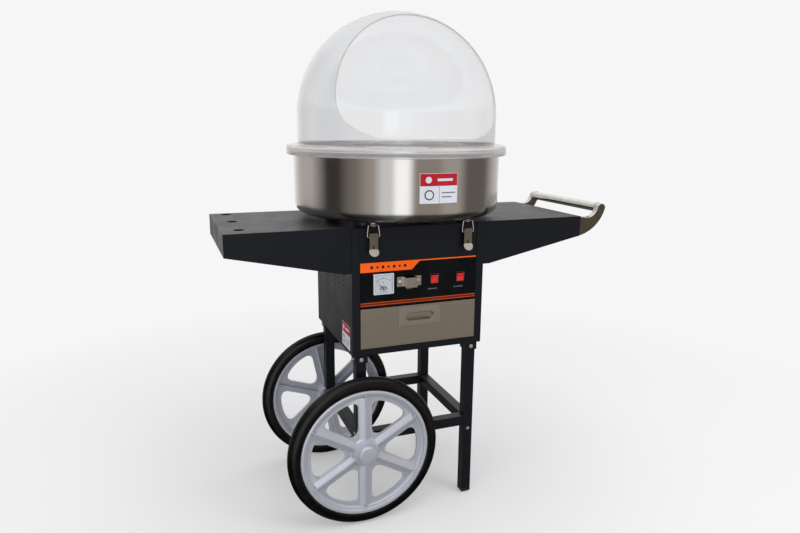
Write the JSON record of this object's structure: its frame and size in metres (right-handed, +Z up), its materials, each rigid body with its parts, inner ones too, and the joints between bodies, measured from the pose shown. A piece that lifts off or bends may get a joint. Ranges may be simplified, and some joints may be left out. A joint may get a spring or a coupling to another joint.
{
  "type": "cotton candy machine",
  "caption": "Cotton candy machine with a steel bowl under a clear bubble cover, on a sheet-steel cart with a drawer, shelves, a push handle and spoked wheels.",
  "frame": {"origin": "on the floor, under the middle of the cart's overall box in X and Y; the spinner's axis stands at X = -0.037 m", "axes": "+X towards the push handle, -Y towards the operator's side with the control panel and drawer, +Z up"},
  "size_m": [0.954, 0.534, 1.197],
  "materials": {
    "powder_coat": "fine-textured satin black powder coat on sheet steel and tube",
    "overlay_film": "smooth black film with orange bands",
    "chrome": "bright chrome",
    "zinc": "zinc-plated steel",
    "brushed_steel": "stainless steel brushed round the bowl",
    "drawer_steel": "stainless steel brushed level, warm grey",
    "latch_steel": "pressed stainless steel",
    "aluminium": "satin turned aluminium",
    "wheel_plastic": "silver moulded plastic with a satin gloss",
    "tyre_rubber": "solid black rubber",
    "black_plastic": "moulded black plastic",
    "red_plastic": "translucent red, lit from inside",
    "meter_plastic": "white moulded plastic",
    "clear_plastic": "clear moulded acrylic, polished"
  },
  "bodies": {
    "cart": {"front_frame": "powder_coat", "left_side_panel": "powder_coat", "right_side_panel": "powder_coat", "back_panel": "powder_coat", "top_plate": "powder_coat", "bottom_plate": "powder_coat", "front_panel": "powder_coat", "control_overlay": "overlay_film", "left_shelf": "powder_coat", "right_shelf": "powder_coat", "handle_tube": "chrome", "handle_bracket_front": "chrome", "handle_bracket_rear": "chrome", "leg_front_left": "powder_coat", "leg_front_right": "powder_coat", "leg_rear_left": "powder_coat", "leg_rear_right": "powder_coat", "brace_front": "powder_coat", "brace_rear": "powder_coat", "brace_left": "powder_coat", "brace_right": "powder_coat", "foot_front": "black_plastic", "foot_rear": "black_plastic", "axle": "zinc", "bowl": "brushed_steel", "motor": "aluminium", "brush_holder": "black_plastic", "meter_housing": "meter_plastic", "meter_lens": "clear_plastic", "fuse_holder": "black_plastic", "fuse_guard": "latch_steel", "power_switch_housing": "black_plastic", "heat_switch_housing": "black_plastic", "cord_gland": "black_plastic", "latch_base_left": "latch_steel", "latch_base_right": "latch_steel"},
    "front_wheel": {"wheel_front": "wheel_plastic", "tyre_front": "tyre_rubber", "hub_cap_front": "wheel_plastic"},
    "rear_wheel": {"wheel_rear": "wheel_plastic", "tyre_rear": "tyre_rubber", "hub_cap_rear": "wheel_plastic"},
    "spinner": {"spinner_shaft": "zinc", "spinner_cup": "aluminium", "heater_band": "zinc", "spinner_cap": "aluminium"},
    "drawer": {"drawer_tray": "zinc", "drawer_front": "drawer_steel"},
    "cover": {"bubble_cover": "clear_plastic"},
    "power_paddle": {"power_rocker": "red_plastic"},
    "heat_paddle": {"heat_rocker": "red_plastic"},
    "pointer": {"meter_needle": "black_plastic"},
    "lever_front_left": {"latch_lever_front_left": "latch_steel"},
    "lever_front_right": {"latch_lever_front_right": "latch_steel"},
    "lever_rear_left": {"latch_lever_rear_left": "latch_steel"},
    "lever_rear_right": {"latch_lever_rear_right": "latch_steel"},
    "bail_front_left": {"latch_bail_front_left": "latch_steel"},
    "bail_front_right": {"latch_bail_front_right": "latch_steel"},
    "bail_rear_left": {"latch_bail_rear_left": "latch_steel"},
    "bail_rear_right": {"latch_bail_rear_right": "latch_steel"}
  },
  "joints": [
    {"name": "front_wheel_roll", "type": "hinge", "parent": "cart", "child": "front_wheel", "pos_m": [-0.179, -0.176, 0.184], "axis": [0, 1, 0], "continuous": true},
    {"name": "rear_wheel_roll", "type": "hinge", "parent": "cart", "child": "rear_wheel", "pos_m": [-0.179, 0.176, 0.184], "axis": [0, 1, 0], "continuous": true},
    {"name": "spinner_spin", "type": "hinge", "parent": "cart", "child": "spinner", "pos_m": [-0.037, 0, 0.757], "axis": [0, 0, 1], "continuous": true},
    {"name": "drawer_slide", "type": "slide", "parent": "cart", "child": "drawer", "axis": [0, -1, 0], "range_m": [0, 0.22]},
    {"name": "cover_lift", "type": "slide", "parent": "cart", "child": "cover", "axis": [0, 0, 1], "range_m": [0, 0.3]},
    {"name": "power_switch", "type": "hinge", "parent": "cart", "child": "power_paddle", "pos_m": [0, -0.1585, 0.5865], "axis": [-1, 0, 0], "range_deg": [0, 18]},
    {"name": "heat_switch", "type": "hinge", "parent": "cart", "child": "heat_paddle", "pos_m": [0.067, -0.1585, 0.5865], "axis": [-1, 0, 0], "range_deg": [0, 18]},
    {"name": "meter_pointer", "type": "hinge", "parent": "cart", "child": "pointer", "pos_m": [-0.1275, -0.165, 0.572], "axis": [0, 1, 0], "range_deg": [0, 84], "stiffness_Nm_per_rad": 0.0002},
    {"name": "latch_front_left", "type": "hinge", "parent": "cart", "child": "lever_front_left", "pos_m": [-0.1537, -0.1665, 0.7], "axis": [-1, 0, 0], "range_deg": [0, 100]},
    {"name": "latch_front_right", "type": "hinge", "parent": "cart", "child": "lever_front_right", "pos_m": [0.0797, -0.1665, 0.7], "axis": [-1, 0, 0], "range_deg": [0, 100]},
    {"name": "latch_rear_left", "type": "hinge", "parent": "cart", "child": "lever_rear_left", "pos_m": [-0.1537, 0.1665, 0.7], "axis": [1, 0, 0], "range_deg": [0, 100]},
    {"name": "latch_rear_right", "type": "hinge", "parent": "cart", "child": "lever_rear_right", "pos_m": [0.0797, 0.1665, 0.7], "axis": [1, 0, 0], "range_deg": [0, 100]},
    {"name": "bail_front_left_swing", "type": "hinge", "parent": "lever_front_left", "child": "bail_front_left", "pos_m": [-0.1537, -0.1705, 0.695], "axis": [1, 0, 0], "range_deg": [0, 165]},
    {"name": "bail_front_right_swing", "type": "hinge", "parent": "lever_front_right", "child": "bail_front_right", "pos_m": [0.0797, -0.1705, 0.695], "axis": [1, 0, 0], "range_deg": [0, 165]},
    {"name": "bail_rear_left_swing", "type": "hinge", "parent": "lever_rear_left", "child": "bail_rear_left", "pos_m": [-0.1537, 0.1705, 0.695], "axis": [-1, 0, 0], "range_deg": [0, 165]},
    {"name": "bail_rear_right_swing", "type": "hinge", "parent": "lever_rear_right", "child": "bail_rear_right", "pos_m": [0.0797, 0.1705, 0.695], "axis": [-1, 0, 0], "range_deg": [0, 165]}
  ],
  "couplings": [
    {"joint": "bail_front_left_swing", "follows": "latch_front_left", "ratio": 1.6},
    {"joint": "bail_front_right_swing", "follows": "latch_front_right", "ratio": 1.6},
    {"joint": "bail_rear_left_swing", "follows": "latch_rear_left", "ratio": 1.6},
    {"joint": "bail_rear_right_swing", "follows": "latch_rear_right", "ratio": 1.6}
  ]
}
